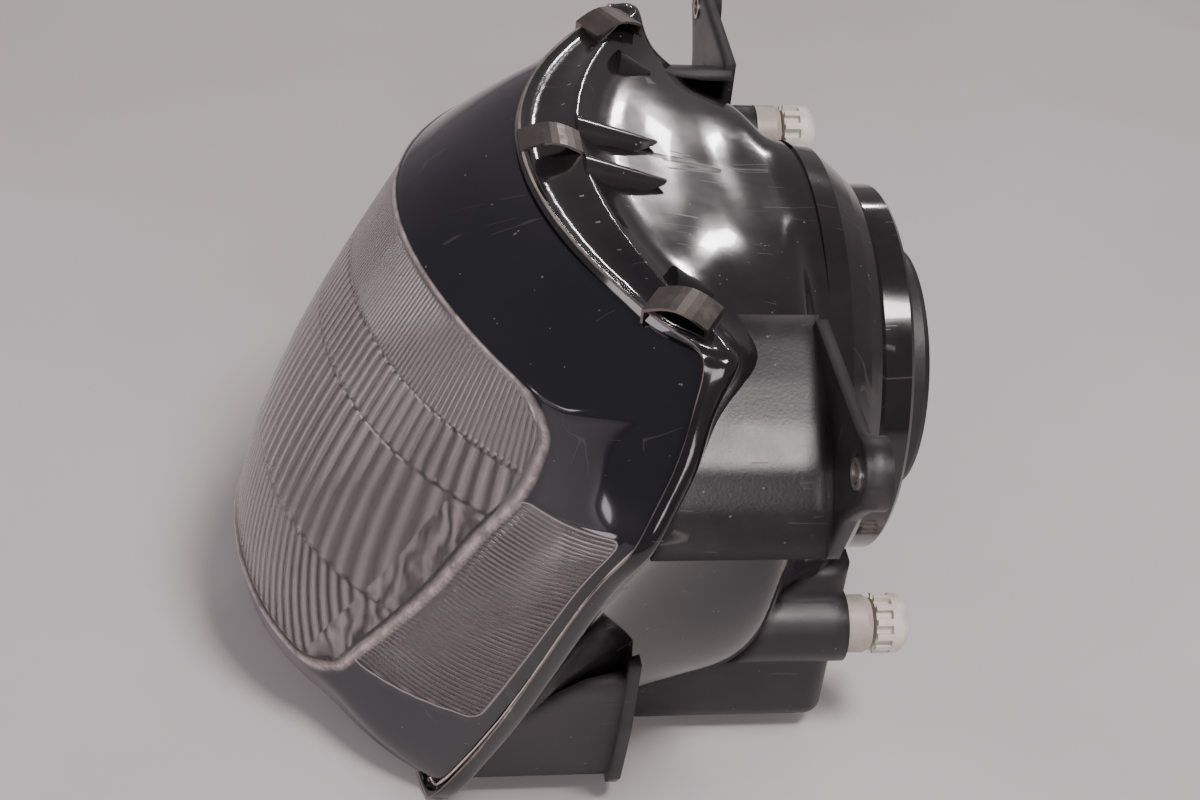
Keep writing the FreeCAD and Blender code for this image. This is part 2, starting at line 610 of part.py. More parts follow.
loop = [(15.5 * math.cos(math.radians(t)), 21.9, AXIS + 15.5 * math.sin(math.radians(t))) for t in range(215, 326, 22)]
path = [(-17, 23.5, AXIS + 27), (-15.5, 21.9, AXIS + 20), (-15.5, 21.9, AXIS - 2)] + loop
path += [(15.5, 21.9, AXIS - 2), (15.5, 21.9, AXIS + 20), (17, 23.5, AXIS + 27)]
axle = rod((-17.6, 23.5, AXIS + 27), 0.9, 35.2, FreeCAD.Rotation(V(0, 1, 0), 90))
keep(fused(axle, *wire(path, 0.9)), "bulb_retainer")
saddle = fused(block(-12, 12, 19.0, 26.5, AXIS + 24.6, AXIS + 29.6), block(-12, 12, 12, 26.5, AXIS + 29.6, AXIS + 31))
trough = rod((-30, 23.5, AXIS + 27), 0.95, 60, FreeCAD.Rotation(V(0, 1, 0), 90))
keep(less(saddle, trough, block(-12.5, 12.5, 11, 22, AXIS + 20, AXIS + 24.5)), "retainer_bracket")

# ---- rubber dust cap ----------------------------------------------------------------------------------------------
cap = turned("cap", [("cap_fit", 48.2), (44.6, 48.2), ("cap_radius", 49.5), ("cap_radius", 58), (44.2, 59.9),
                     (42.5, "cap_end"), (39, "cap_end"), (36, 59), (26, 59), (24, 60), ("cap_hole", 60),
                     ("cap_hole", 56.8), ("cap_fit", 56.8)], (0, 0, AXIS))
keep(cap, "dust_cap")

doc.recompute()
for obj in doc.Objects:
    if "Invalid" in obj.State or "Error" in obj.State:
        raise SystemExit("%s did not build" % obj.Name)
os.makedirs("parts", exist_ok=True)
for obj in NODES:
    shape = obj.Shape
    if shape.isNull() or not shape.isValid():
        raise SystemExit("%s is not a sound solid" % obj.Label)
    box = shape.BoundBox
    print("%-22s %d %8.0f  X %.1f %.1f  Y %.1f %.1f  Z %.1f %.1f" % (
        obj.Label, len(shape.Solids), shape.Volume, box.XMin, box.XMax, box.YMin, box.YMax, box.ZMin, box.ZMax))
    shape.exportStep("parts/%s.step" % obj.Label)
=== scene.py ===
import math
import bpy
import bmesh
import numpy as np
from mathutils import Matrix, Vector


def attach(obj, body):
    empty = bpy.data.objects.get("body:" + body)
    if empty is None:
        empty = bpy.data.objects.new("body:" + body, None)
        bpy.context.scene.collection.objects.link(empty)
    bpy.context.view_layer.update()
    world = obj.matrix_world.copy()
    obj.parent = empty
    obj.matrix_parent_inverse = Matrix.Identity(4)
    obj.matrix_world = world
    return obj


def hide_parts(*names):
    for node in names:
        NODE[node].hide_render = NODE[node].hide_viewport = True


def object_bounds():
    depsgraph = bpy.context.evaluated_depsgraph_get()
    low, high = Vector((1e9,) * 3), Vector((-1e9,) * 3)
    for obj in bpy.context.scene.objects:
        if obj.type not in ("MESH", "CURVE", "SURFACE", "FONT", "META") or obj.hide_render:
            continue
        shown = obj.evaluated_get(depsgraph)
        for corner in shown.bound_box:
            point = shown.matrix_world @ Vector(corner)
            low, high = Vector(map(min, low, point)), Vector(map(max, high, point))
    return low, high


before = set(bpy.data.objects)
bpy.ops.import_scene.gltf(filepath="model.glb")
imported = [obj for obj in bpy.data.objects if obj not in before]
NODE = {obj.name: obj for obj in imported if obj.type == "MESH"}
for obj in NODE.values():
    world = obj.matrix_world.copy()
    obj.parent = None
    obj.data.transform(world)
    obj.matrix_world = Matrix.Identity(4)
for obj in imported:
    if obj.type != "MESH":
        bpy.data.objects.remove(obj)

CAD_BOX = [list(c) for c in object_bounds()]
MM = 0.001


# ---------------------------------------------------------------- materials
class Net:
    """Small helper for building a node material."""

    def __init__(self, name):
        self.mat = bpy.data.materials.new(name)
        self.mat.use_nodes = True
        self.tree = self.mat.node_tree
        self.bsdf = self.tree.nodes["Principled BSDF"]
        self.coord = self.tree.nodes.new("ShaderNodeTexCoord").outputs["Object"]

    def node(self, kind, **props):
        made = self.tree.nodes.new("ShaderNode" + kind)
        for key, value in props.items():
            setattr(made, key, value)
        return made

    def link(self, a, b):
        self.tree.links.new(a, b)

    def put(self, socket, value):
        if hasattr(value, "is_output"):
            self.link(value, socket)
        else:
            socket.default_value = value

    def math(self, op, a, b=0.0, c=0.0, clamp=False):
        made = self.node("Math", operation=op, use_clamp=clamp)
        for socket, value in zip(made.inputs, (a, b, c)):
            self.put(socket, value)
        return made.outputs[0]

    def noise(self, scale, detail=4.0, rough=0.55, stretch=None, seed=0.0):
        made = self.node("TexNoise", noise_dimensions="4D")
        made.inputs["W"].default_value = seed
        made.inputs["Scale"].default_value = scale
        made.inputs["Detail"].default_value = detail
        made.inputs["Roughness"].default_value = rough
        self.link(self.mapped(stretch), made.inputs["Vector"])
        return made.outputs["Fac"]

    def mapped(self, stretch=None, turn=(0, 0, 0)):
        if stretch is None:
            return self.coord
        made = self.node("Mapping")
        made.inputs["Scale"].default_value = stretch
        made.inputs["Rotation"].default_value = turn
        self.link(self.coord, made.inputs["Vector"])
        return made.outputs["Vector"]

    def ramp(self, fac, stops):
        made = self.node("ValToRGB")
        ramp = made.color_ramp
        while len(ramp.elements) < len(stops):
            ramp.elements.new(0.5)
        for element, (spot, value) in zip(ramp.elements, stops):
            element.position = spot
            colour = value if isinstance(value, tuple) else (value, value, value)
            element.color = (*colour, 1.0)
        self.link(fac, made.inputs["Fac"])
        return made.outputs["Color"]

    def mix(self, fac, a, b):
        made = self.node("Mix", data_type="RGBA")
        self.put(made.inputs[0], fac)
        for socket, value in ((made.inputs[6], a), (made.inputs[7], b)):
            self.put(socket, (*value, 1.0) if isinstance(value, tuple) and len(value) == 3 else value)
        return made.outputs[2]

    def bump(self, height, strength=0.3, distance=0.001, normal=None):
        made = self.node("Bump")
        made.inputs["Strength"].default_value = strength
        made.inputs["Distance"].default_value = distance
        self.link(height, made.inputs["Height"])
        if normal is not None:
            self.link(normal, made.inputs["Normal"])
        return made.outputs["Normal"]

    def attr(self, name):
        return self.node("Attribute", attribute_name=name).outputs["Fac"]


def scratches(net, scale=60.0, width=0.02):
    """Thin wandering lines in several directions, 0..1."""
    total = None
    for k, turn in enumerate((0.3, 1.4, 2.2)):
        vector = net.mapped((1.0, 0.05, 0.35), (turn, turn * 0.7, turn * 1.9))
        noise = net.node("TexNoise")
        noise.inputs["Scale"].default_value = scale * (1 + 0.4 * k)
        noise.inputs["Detail"].default_value = 1.5
        net.link(vector, noise.inputs["Vector"])
        line = net.math("ABSOLUTE", net.math("SUBTRACT", noise.outputs["Fac"], 0.5))
        line = net.math("SUBTRACT", 1.0, net.math("DIVIDE", line, width * 0.35), clamp=True)
        gate = net.math("GREATER_THAN", net.noise(26.0 + 9 * k, 2.0, seed=3.0 * k), 0.60)
        line = net.math("MULTIPLY", line, gate)
        total = line if total is None else net.math("MAXIMUM", total, line)
    return total


def specks(net, scale=420.0, size=0.16, chance=0.86, seed=0.0):
    """Scattered dust specks, 0..1."""
    cell = net.node("TexVoronoi", feature="F1")
    cell.inputs["Scale"].default_value = scale
    net.link(net.coord, cell.inputs["Vector"])
    near = net.math("LESS_THAN", cell.outputs["Distance"], size)
    pick = net.math("GREATER_THAN", net.noise(scale * 0.37, 1.0, seed=seed), chance - 0.22)
    return net.math("MULTIPLY", near, pick)


def black_plastic(name, base, rough, dust=0.35, grain=0.0, scuff=0.5, coat=0.0, tint=(0.42, 0.36, 0.36),
                  soft_edge=0.0):
    net = Net(name)
    cloud = net.noise(22.0, 6.0, 0.62, seed=1.7)
    film = net.ramp(cloud, [(0.38, 0.0), (0.72, 1.0)])
    lines = scratches(net)
    spots = specks(net)
    dirt = net.math("MULTIPLY", film, dust * 0.12)
    dirt = net.math("ADD", dirt, net.math("MULTIPLY", lines, scuff * 0.16))
    dirt = net.math("ADD", dirt, net.math("MULTIPLY", spots, 0.28), clamp=True)
    net.link(net.mix(dirt, base, tint), net.bsdf.inputs["Base Color"])
    wear = net.math("MULTIPLY", film, 0.16 * (0.4 + dust))
    wear = net.math("ADD", wear, net.math("MULTIPLY", lines, 0.25))
    net.link(net.math("ADD", wear, rough, clamp=True), net.bsdf.inputs["Roughness"])
    fine = net.noise(900.0, 3.0)
    wave = net.noise(34.0, 2.0, seed=8.0)
    height = net.math("ADD", net.math("MULTIPLY", fine, grain), net.math("MULTIPLY", wave, 0.8))
    edge = None
    if soft_edge:
        edge = net.node("Bevel", samples=6)
        edge.inputs["Radius"].default_value = soft_edge
        edge = edge.outputs[0]
    net.link(net.bump(height, 0.25, 0.0006, edge), net.bsdf.inputs["Normal"])
    net.bsdf.inputs["Coat Weight"].default_value = coat
    net.bsdf.inputs["Coat Roughness"].default_value = 0.04
    return net.mat


def steel(name, base=(0.55, 0.53, 0.51), rough=0.32, rust=0.25, metal=1.0):
    net = Net(name)
    cloud = net.ramp(net.noise(160.0, 6.0, 0.65), [(0.45, 0.0), (0.75, 1.0)])
    spots = net.ramp(net.noise(60.0, 4.0, seed=4.0), [(0.55, 0.0), (0.7, 1.0)])
    stain = net.math("MULTIPLY", spots, rust)
    net.link(net.mix(stain, base, (0.22, 0.14, 0.09)), net.bsdf.inputs["Base Color"])
    net.bsdf.inputs["Metallic"].default_value = metal
    net.link(net.math("ADD", net.math("MULTIPLY", cloud, 0.25), rough), net.bsdf.inputs["Roughness"])
    net.link(net.bump(net.noise(700.0, 3.0), 0.12, 0.0003), net.bsdf.inputs["Normal"])
    return net.mat


def nylon(name, base, dirt=(0.32, 0.27, 0.22)):
    net = Net(name)
    grime = net.ramp(net.noise(120.0, 7.0, 0.65, seed=2.0), [(0.42, 0.0), (0.72, 1.0)])
    net.link(net.mix(net.math("MULTIPLY", grime, 0.55), base, dirt), net.bsdf.inputs["Base Color"])
    net.bsdf.inputs["Roughness"].default_value = 0.45
    net.bsdf.inputs["Subsurface Weight"].default_value = 0.12
    net.bsdf.inputs["Subsurface Radius"].default_value = (0.002, 0.0015, 0.001)
    net.link(net.bump(net.noise(500.0, 4.0), 0.2, 0.0003), net.bsdf.inputs["Normal"])
    return net.mat


def rubber(name):
    net = Net(name)
    film = net.ramp(net.noise(40.0, 6.0, 0.6, seed=5.0), [(0.4, 0.0), (0.75, 1.0)])
    net.link(net.mix(net.math("MULTIPLY", film, 0.35), (0.012, 0.012, 0.013), (0.10, 0.09, 0.09)),
             net.bsdf.inputs["Base Color"])
    net.link(net.math("ADD", net.math("MULTIPLY", film, 0.2), 0.42), net.bsdf.inputs["Roughness"])
    net.link(net.bump(net.noise(600.0, 4.0), 0.25, 0.0004), net.bsdf.inputs["Normal"])
    return net.mat


def mirror(name):
    net = Net(name)
    haze = net.noise(30.0, 5.0, 0.6)
    net.link(net.ramp(haze, [(0.3, (0.80, 0.79, 0.78)), (0.8, (0.92, 0.91, 0.90))]), net.bsdf.inputs["Base Color"])
    net.bsdf.inputs["Metallic"].default_value = 1.0
    net.link(net.math("ADD", net.math("MULTIPLY", haze, 0.12), 0.10), net.bsdf.inputs["Roughness"])
    return net.mat


def clear_glass(name, tint=(0.97, 0.98, 0.97)):
    net = Net(name)
    net.bsdf.inputs["Base Color"].default_value = (*tint, 1.0)
    net.bsdf.inputs["Transmission Weight"].default_value = 1.0
    net.bsdf.inputs["IOR"].default_value = 1.47
    net.link(net.math("MULTIPLY", net.noise(60.0, 4.0), 0.06), net.bsdf.inputs["Roughness"])
    return net.mat


# ---------------------------------------------------------------- lens form (metres from mm)
def blend(stations, at):
    spots = [s[0] for s in stations]
    at = min(max(at, spots[0]), spots[-1])
    i = max(k for k in range(len(spots) - 1) if spots[k] <= at)

    def slope(k):
        a, b = max(k - 1, 0), min(k + 1, len(stations) - 1)
        return (stations[b][1] - stations[a][1]) / (spots[b] - spots[a])

    span = spots[i + 1] - spots[i]
    f = (at - spots[i]) / span
    p0, p1, m0, m1 = stations[i][1], stations[i + 1][1], slope(i) * span, slope(i + 1) * span
    return ((2 * f - 3) * f * f + 1) * p0 + (3 - 2 * f) * f * f * p1 + f * (1 - f) ** 2 * m0 - f * f * (1 - f) * m1


FACE_CENTRE = [(-190, -180.5), (-165, -185), (-140, -184.3), (-110, -178.3), (-80, -167.8),
               (-50, -154), (-20, -138), (0, -126.6)]
WINDOW_X = [(-190, 61), (-166, 66), (-143, 74), (-122, 81.5), (-98, 88), (-75, 92), (-51, 99), (-14, 103)]
WINDOW_Y = [(-190, -158), (-166, -150), (-143, -138), (-122, -124.5), (-98, -110.5), (-75, -100),
            (-51, -86.5), (-14, -81)]
SIDE_X = [(0, 112), (0.1, 121.5), (0.2, 132), (0.28, 137), (0.42, 131.5), (0.6, 121.5), (0.8, 110.6),
          (0.94, 100), (1, 93)]
SIDE_Y = [(0, -39), (0.1, -41.6), (0.2, -51), (0.28, -57.5), (0.42, -67), (0.6, -78.7), (0.8, -91.7),
          (0.94, -108), (1, -112)]
SIDE_Z = [(0, 14), (0.1, -5.7), (0.2, -26), (0.28, -38), (0.42, -59), (0.6, -98), (0.8, -141),
          (0.94, -182), (1, -190)]


def face(x, z):
    s = (z + 90) / 90.0
    u = abs(x) / 90.0
    return blend(FACE_CENTRE, z) + (1.38 + 0.08 * s) * 30 * u ** 2 + (0.82 - 1.02 * s) * 30 * u ** 4


def top_rim(u):
    return (112 * u, -85 + 46 * u * u, 17.5 - 3.5 * u * u)


def low_rim(u):
    return (93 * u, -128 + 16 * u * u, -162 - 28 * u * u)


def side_rim(v, sign):
    return (sign * blend(SIDE_X, v), blend(SIDE_Y, v), blend(SIDE_Z, v))


def between(a, b, f):
    return tuple(p + (q - p) * f for p, q in zip(a, b))


def body_point(u, f):
    sign = 1 if u >= 0 else -1
    a = abs(u)
    edge_z = -14 - 152 * f
    mid_z = -1 - 137 * f
    edge_x, edge_y = blend(WINDOW_X, edge_z), blend(WINDOW_Y, edge_z)
    if a <= 0.64:
        s = a / 0.64
        x = edge_x * s
        z = mid_z + (edge_z - mid_z) * s * s
        fit = edge_y - face(edge_x, edge_z)
        return (sign * x, face(x, z) + fit * s ** 4, z)
    s = (a - 0.64) / 0.36
    spot = between((edge_x, edge_y, edge_z), side_rim(0.06 + 0.9 * f, 1), s)
    swell = 3.5 * math.sin(math.pi * s)
    return (sign * (spot[0] + swell), spot[1] - swell * 0.4, spot[2])


def foot_edge(u):
    a = body_point(u, 1.0)
    return (a[0] * 0.97, a[1] + 1.5, a[2] - 16 * (1 - 0.75 * u * u))


BROW = (0.0, 0.2, 0.45, 0.7, 0.9)
BODY = (0.0, 0.04, 0.12, 0.25, 0.4, 0.55, 0.7, 0.85, 0.96, 1.0)
FOOT = (0.0, 0.12, 0.5, 1.0)
HALF = 14


def lens_poles():
    rows = []
    across = [k / HALF for k in range(-HALF, HALF + 1)]
    for f in BROW:
        row = []
        for u in across:
            spot = between(top_rim(u), body_point(u, 0.0), f)
            row.append((spot[0], spot[1], spot[2] + 5 * math.sin(math.pi * f) * (1 - 0.5 * abs(u))))
        rows.append(row)
    rows += [[body_point(u, f) for u in across] for f in BODY]
    low = [foot_edge(u) for u in across]
    rows.append([between(a, b, 0.55) for a, b in zip(rows[-1], low)])
    rows += [[between(foot_edge(u), low_rim(u), f) for u in across] for f in FOOT]
    return np.array(rows) * MM


def weights(count, samples):
    """Quadratic clamped spline weights and where each pole sits along the samples."""
    top = count - 2
    knots = [0.0] * 3 + list(range(1, top)) + [float(top)] * 3
    at = np.clip(samples, 0, top - 1e-9)
    table = np.zeros((len(at), count))
    for n, t in enumerate(at):
        span = 2 + int(t)
        left, right = [0.0] * 3, [0.0] * 3
        basis = [1.0, 0.0, 0.0]
        for j in (1, 2):
            left[j], right[j] = t - knots[span + 1 - j], knots[span + j] - t
            saved = 0.0
            for r in range(j):
                term = basis[r] / (right[r + 1] + left[j - r])
                basis[r] = saved + right[r + 1] * term
                saved = left[j - r] * term
            basis[j] = saved
        for j in range(3):
            table[n, span - 2 + j] = basis[j]
    greville = np.array([(knots[k + 1] + knots[k + 2]) / 2 for k in range(count)])
    return table, greville


def grid_normals(grid):
    du = np.gradient(grid, axis=1)
    dv = np.gradient(grid, axis=0)
    n = np.cross(dv, du)
    return n / np.maximum(np.linalg.norm(n, axis=2, keepdims=True), 1e-12)


def round_box(a, b, half_a, half_b, radius):
    """Signed distance to a rounded rectangle, negative inside."""
    qa, qb = np.abs(a) - half_a + radius, np.abs(b) - half_b + radius
    outside = np.hypot(np.maximum(qa, 0), np.maximum(qb, 0))
    return outside + np.minimum(np.maximum(qa, qb), 0) - radius


def lens_maps(u, f):
    """Signed distances (mm) to the main window and the side windows, from u across and f down."""
    half_w, half_h = 96.0, 76.0
    window = round_box(u / 0.64 * half_w, (f - 0.5) * 2 * half_h, half_w, half_h, 15.0)
    s = (np.abs(u) - 0.64) / 0.36
    top = 0.25
    low = 0.885 - 0.065 * s
    mid, half = (top + low) / 2, (low - top) / 2
    side = round_box((s - 0.43) * 46, (f - mid) * 165, 0.43 * 46, half * 165, 4.0)
    return window, side


def build_lens():
    poles = lens_poles()
    rows, cols = poles.shape[:2]
    down = np.linspace(0, rows - 2, 260)
    across = np.linspace(0, cols - 2, 420)
    wd, gd = weights(rows, down)
    wa, ga = weights(cols, across)
    outer = np.einsum("ij,jkc,lk->ilc", wd, poles, wa)
    f_line = np.interp(down, gd, np.array([-0.6 + 0.12 * k for k in range(len(BROW))] + list(BODY)
                                          + [1.06] + [1.12 + 0.1 * k for k in range(len(FOOT))]))
    u_line = np.interp(across, ga, np.linspace(-1, 1, cols))
    u, f = np.meshgrid(u_line, f_line)
    window, side = lens_maps(u, f)
    normal = grid_normals(outer)
    middle = outer.mean(axis=(0, 1))
    if ((outer - middle) * normal).sum() < 0:
        normal = -normal
    rim = np.exp(-(window / 1.5) ** 2) * 0.9 - 0.35 / (1 + np.exp(np.clip(window, -40, 40) * 1.5))
    line = np.exp(-(side / 0.7) ** 2) * 0.35 * (window > 1.5)
    shaped = outer + normal * ((rim + line)[..., None] * MM)
    depth = 2.8 * MM
    inner = outer - normal * depth
    verts = np.concatenate([shaped.reshape(-1, 3), inner.reshape(-1, 3)])
    n, m = shaped.shape[:2]
    faces = []
    size = n * m
    for i in range(n - 1):
        base = i * m
        for j in range(m - 1):
            a = base + j
            faces.append((a, a + 1, a + m + 1, a + m))
            faces.append((size + a, size + a + m, size + a + m + 1, size + a + 1))
    for j in range(m - 1):
        for a, b in ((j, j + 1), ((n - 1) * m + j + 1, (n - 1) * m + j)):
            faces.append((a, size + a, size + b, b))
    for i in range(n - 1):
        for a, b in (((i + 1) * m, i * m), (i * m + m - 1, (i + 1) * m + m - 1)):
            faces.append((a, size + a, size + b, b))
    mesh = bpy.data.meshes.new("lens_shell")
    mesh.from_pydata([tuple(v) for v in verts], [], faces)
    for name, values in (("win", window), ("side", side), ("uu", u), ("ff", f)):
        layer = mesh.attributes.new(name, "FLOAT", "POINT")
        layer.data.foreach_set("value", np.concatenate([values.ravel(), values.ravel()]).astype(np.float32))
    mesh.polygons.foreach_set("use_smooth", [True] * len(mesh.polygons))
    work = bmesh.new()
    work.from_mesh(mesh)
    bmesh.ops.recalc_face_normals(work, faces=work.faces)
    work.to_mesh(mesh)
    work.free()
    obj = bpy.data.objects.new("lens_shell", mesh)
    bpy.context.scene.collection.objects.link(obj)
    return obj


def lens_material():
    """Clear fluted glass in the windows, black paint elsewhere."""
    net = Net("lens_glass")
    win, side, uu, ff = (net.attr(k) for k in ("win", "side", "uu", "ff"))
    split = net.node("SeparateXYZ")
    net.link(net.coord, split.inputs[0])
    x, z = split.outputs[0], split.outputs[2]

    def wave(value, pitch, sharp=1.0):
        raw = net.math("SINE", net.math("MULTIPLY", value, 2 * math.pi / pitch))
        return net.math("MULTIPLY", net.math("ADD", raw, 1.0), 0.5 * sharp)

    # flutes: fine band on top, two coarse bands, fine band at the foot
    fine = wave(x, 0.0016)
    mid = wave(x, 0.0037)
    coarse = wave(x, 0.0050)
    low = wave(net.math("ADD", x, net.math("MULTIPLY", z, 0.12)), 0.0030)

    def step(at):
        return net.math("GREATER_THAN", ff, at)

    h = net.mix(step(0.20), fine, mid)
    h = net.mix(step(0.34), h, coarse)
    h = net.mix(step(0.70), h, low)
    # wavy prisms near the side edge
    au = net.math("ABSOLUTE", uu)
    ripple = net.noise(120.0, 2.0, 0.4, stretch=(1.6, 1.0, 0.5), seed=6.0)
    warp = net.math("ADD", x, net.math("MULTIPLY", ripple, 0.011))
    prism = wave(warp, 0.0042)
    edge = net.math("GREATER_THAN", au, 0.572)
    h = net.mix(net.math("MULTIPLY", edge, step(0.36)), h, prism)
    bands = None
    for at in (0.20, 0.34, 0.70):
        gap = net.math("ABSOLUTE", net.math("SUBTRACT", ff, at))
        notch = net.math("SUBTRACT", 1.0, net.math("MULTIPLY", gap, 160.0), clamp=True)
        bands = notch if bands is None else net.math("MAXIMUM", bands, notch)
    h = net.math("SUBTRACT", h, net.math("MULTIPLY", bands, 0.8))
    inside = net.math("LESS_THAN", win, -2.6)
    h = net.math("MULTIPLY", h, inside)
    # fine lengthwise ribs on the side window
    ribs = wave(ff, 0.0125)
    side_in = net.math("LESS_THAN", side, -0.6)
    side_ribs = net.math("MULTIPLY", ribs, net.math("MULTIPLY", side_in, net.math("GREATER_THAN", win, 0.5)))
    flute_normal = net.bump(net.math("ADD", h, net.math("MULTIPLY", side_ribs, 0.6)), 0.5, 0.0005)
    glass = net.node("BsdfPrincipled")
    glass.inputs["Base Color"].default_value = (0.95, 0.955, 0.95, 1.0)
    glass.inputs["Transmission Weight"].default_value = 1.0
    glass.inputs["IOR"].default_value = 1.5
    haze = net.ramp(net.noise(26.0, 6.0, 0.62, seed=2.0), [(0.35, 0.03), (0.8, 0.16)])
    net.link(haze, glass.inputs["Roughness"])
    net.link(flute_normal, glass.inputs["Normal"])
    # random cloudy haze plus painted light: a layer mixed over the glass paints the flute ridges light (painted
    # highlight) and the grooves dark (painted shade)
    ridge_sheen = net.node("BsdfPrincipled")
    cloudy = net.noise(14.0, 5.0, 0.6, seed=12.0)
    ridge = net.math("ADD", net.math("MULTIPLY", h, 0.75), net.math("MULTIPLY", side_ribs, 0.5))
    # painted highlight on the flute ridges, painted shade in the grooves: colour runs from dark in the grooves to
    # light on the ridges
    ridge_highlight = net.math("ADD", net.math("MULTIPLY", ridge, 1.1), 0.0, clamp=True)
    net.link(net.mix(ridge_highlight, (0.05, 0.036, 0.038), (0.86, 0.74, 0.74)), ridge_sheen.inputs["Base Color"])
    ridge_sheen.inputs["Roughness"].default_value = 0.35
    net.link(flute_normal, ridge_sheen.inputs["Normal"])
    share = net.math("ADD", net.math("MULTIPLY", ridge, 0.12), net.math("MULTIPLY", cloudy, 0.38), clamp=True)
    haze_and_sheen = net.node("MixShader")
    net.link(share, haze_and_sheen.inputs[0])
    net.link(glass.outputs[0], haze_and_sheen.inputs[1])
    net.link(ridge_sheen.outputs[0], haze_and_sheen.inputs[2])
    # painted areas
    paint = net.bsdf
    lines = scratches(net, 52.0, 0.014)
    spots = specks(net, 380.0, 0.15, 0.87, seed=3.0)
    film = net.ramp(net.noise(17.0, 6.0, 0.6, seed=9.0), [(0.42, 0.0), (0.8, 1.0)])
    dirt = net.math("ADD", net.math("MULTIPLY", film, 0.012), net.math("MULTIPLY", lines, 0.07))
    dirt = net.math("ADD", dirt, net.math("MULTIPLY", spots, 0.22), clamp=True)
    net.link(net.mix(dirt, (0.004, 0.0045, 0.009), (0.50, 0.43, 0.42)), paint.inputs["Base Color"])
    net.link(net.math("ADD", net.math("MULTIPLY", film, 0.12), 0.07), paint.inputs["Roughness"])
    paint.inputs["Coat Weight"].default_value = 0.6
    paint.inputs["Coat Roughness"].default_value = 0.03
    # dusty line on the window's raised rim and round the side window
    dusty = net.node("BsdfPrincipled")
    dusty.inputs["Base Color"].default_value = (0.66, 0.55, 0.53, 1.0)
    dusty.inputs["Roughness"].default_value = 0.5
    mixer = net.node("MixShader")
    clear = net.math("MAXIMUM", net.math("LESS_THAN", win, -0.2), net.math("LESS_THAN", side, 0.0))
    net.link(clear, mixer.inputs[0])
    net.link(paint.outputs[0], mixer.inputs[1])
    net.link(haze_and_sheen.outputs[0], mixer.inputs[2])
    ring = net.math("SUBTRACT", 1.0, net.math("MULTIPLY", net.math("ABSOLUTE", win), 0.5), clamp=True)
    edge_side = net.math("SUBTRACT", 1.0, net.math("MULTIPLY", net.math("ABSOLUTE", side), 1.7), clamp=True)
    edge_side = net.math("MULTIPLY", edge_side, net.math("GREATER_THAN", win, 1.0))
    break_up = net.ramp(net.noise(150.0, 5.0, 0.7, seed=4.0), [(0.40, 0.0), (0.62, 1.0)])
    ring = net.math("MULTIPLY", ring, net.math("ADD", net.math("MULTIPLY", break_up, 0.55), 0.30))
    ring = net.math("MAXIMUM", ring, net.math("MULTIPLY", edge_side, 0.55))
    final = net.node("MixShader")
    net.link(ring, final.inputs[0])
    net.link(mixer.outputs[0], final.inputs[1])
    net.link(dusty.outputs[0], final.inputs[2])
    output = [n for n in net.tree.nodes if n.type == "OUTPUT_MATERIAL"][0]
    net.link(final.outputs[0], output.inputs["Surface"])
    return net.mat


lens = build_lens()
lens.data.materials.append(lens_material())
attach(lens, "shell")
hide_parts("front_lens")

# ---------------------------------------------------------------- rim lines and channel ribs
SIDE_STEPS = (0.0, 0.07, 0.14, 0.21, 0.28, 0.37, 0.47, 0.58, 0.69, 0.8, 0.88, 0.95, 1.0)


def rim_loop(grow, back, top_grow=None, top_back=None):
    """The lens rim as a closed loop, grown outwards and moved back by mm; the top may differ."""
    top_grow = grow if top_grow is None else top_grow
    top_back = back if top_back is None else top_back
    loop = [top_rim(k / 8) for k in range(-7, 8)] + [side_rim(v, 1) for v in SIDE_STEPS]
    loop += [low_rim(k / 8) for k in range(7, -8, -1)] + [side_rim(v, -1) for v in SIDE_STEPS[::-1]]
    moved = []
    for x, y, z in loop:
        reach = math.hypot(x, z + 75)
        share = min(max((118 - abs(x)) / 22, 0), 1) * min(max((z - 2) / 11, 0), 1)
        out = grow + (top_grow - grow) * share
        aft = back + (top_back - back) * share
        slant = 0.45 * aft * x / 88 * share
        moved.append(Vector((x + x / reach * out + slant, y + aft, z + (z + 75) / reach * out)) * MM)
    return moved


def piece(name, material):
    """A mesh object fixed to the shell."""
    mesh = bpy.data.meshes.new(name)
    obj = bpy.data.objects.new(name, mesh)
    bpy.context.scene.collection.objects.link(obj)
    mesh.materials.append(material)
    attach(obj, "shell")
    return obj


def smooth_loop(points, steps=6):
    """Catmull-Rom resampling of a closed loop."""
    out = []
    count = len(points)
    for i in range(count):
        p0, p1, p2, p3 = (points[(i + k) % count] for k in (-1, 0, 1, 2))
        for k in range(steps):
            t = k / steps
            out.append(0.5 * ((2 * p1) + (p2 - p0) * t + (2 * p0 - 5 * p1 + 4 * p2 - p3) * t * t
                              + (3 * p1 - p0 - 3 * p2 + p3) * t ** 3))
    return out


def bead(name, points, radius, material, sides=10):
    """A round bead along a closed loop."""
    obj = piece(name, material)
    line = smooth_loop(points)
    verts, faces = [], []
    count = len(line)
    for i, spot in enumerate(line):
        along = (line[(i + 1) % count] - line[i - 1]).normalized()
        outward = Vector((spot.x, 0, spot.z + 75 * MM)).normalized()
        across = along.cross(outward).normalized()
        outward = across.cross(along)
        swell = radius * MM * (1 + 0.15 * math.sin(i * 0.9) * math.sin(i * 0.37))
        for k in range(sides):
            turn = 2 * math.pi * k / sides
            verts.append(spot + outward * swell * math.cos(turn) + across * swell * math.sin(turn))
    for i in range(count):
        for k in range(sides):
            a, b = i * sides + k, i * sides + (k + 1) % sides
            c, d = ((i + 1) % count) * sides + (k + 1) % sides, ((i + 1) % count) * sides + k
            faces.append((a, b, c, d))
    obj.data.from_pydata(verts, [], faces)
    obj.data.polygons.foreach_set("use_smooth", [True] * len(faces))
    return obj


